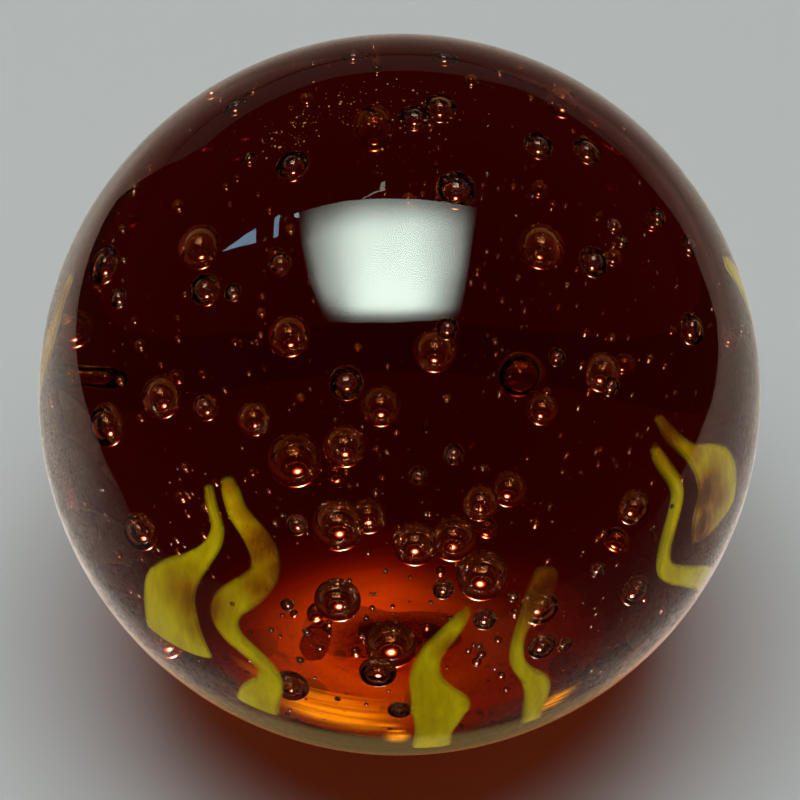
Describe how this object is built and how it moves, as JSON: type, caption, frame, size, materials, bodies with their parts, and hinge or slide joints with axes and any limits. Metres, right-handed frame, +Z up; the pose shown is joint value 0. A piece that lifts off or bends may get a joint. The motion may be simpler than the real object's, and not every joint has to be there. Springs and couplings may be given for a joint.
{
  "type": "glass marble",
  "caption": "Solid glass ball of dark amber glass with air bubbles and wavy yellow-green flames cased round its lower half.",
  "frame": {"origin": "centre of the ball", "axes": "+Z up as the ball lies, out of its bubbly top; -Y is the front, with the flames' feet below it; +X is to the right seen from the front"},
  "size_m": [0.035, 0.035, 0.035],
  "materials": {
    "amber_glass": "polished, clear, deep amber to red-brown",
    "green_glass": "opaque to cloudy yellow-green glass inside the amber"
  },
  "bodies": {
    "root": {"glass_body": "amber_glass", "left_flame": "green_glass", "left_wisp": "green_glass", "front_flame": "green_glass", "front_wisp": "green_glass", "right_flame": "green_glass", "right_wisp": "green_glass", "side_wisp": "green_glass", "side_flame": "green_glass", "far_flame": "green_glass", "back_flame_1": "green_glass", "back_flame_2": "green_glass", "back_flame_3": "green_glass"}
  },
  "joints": []
}
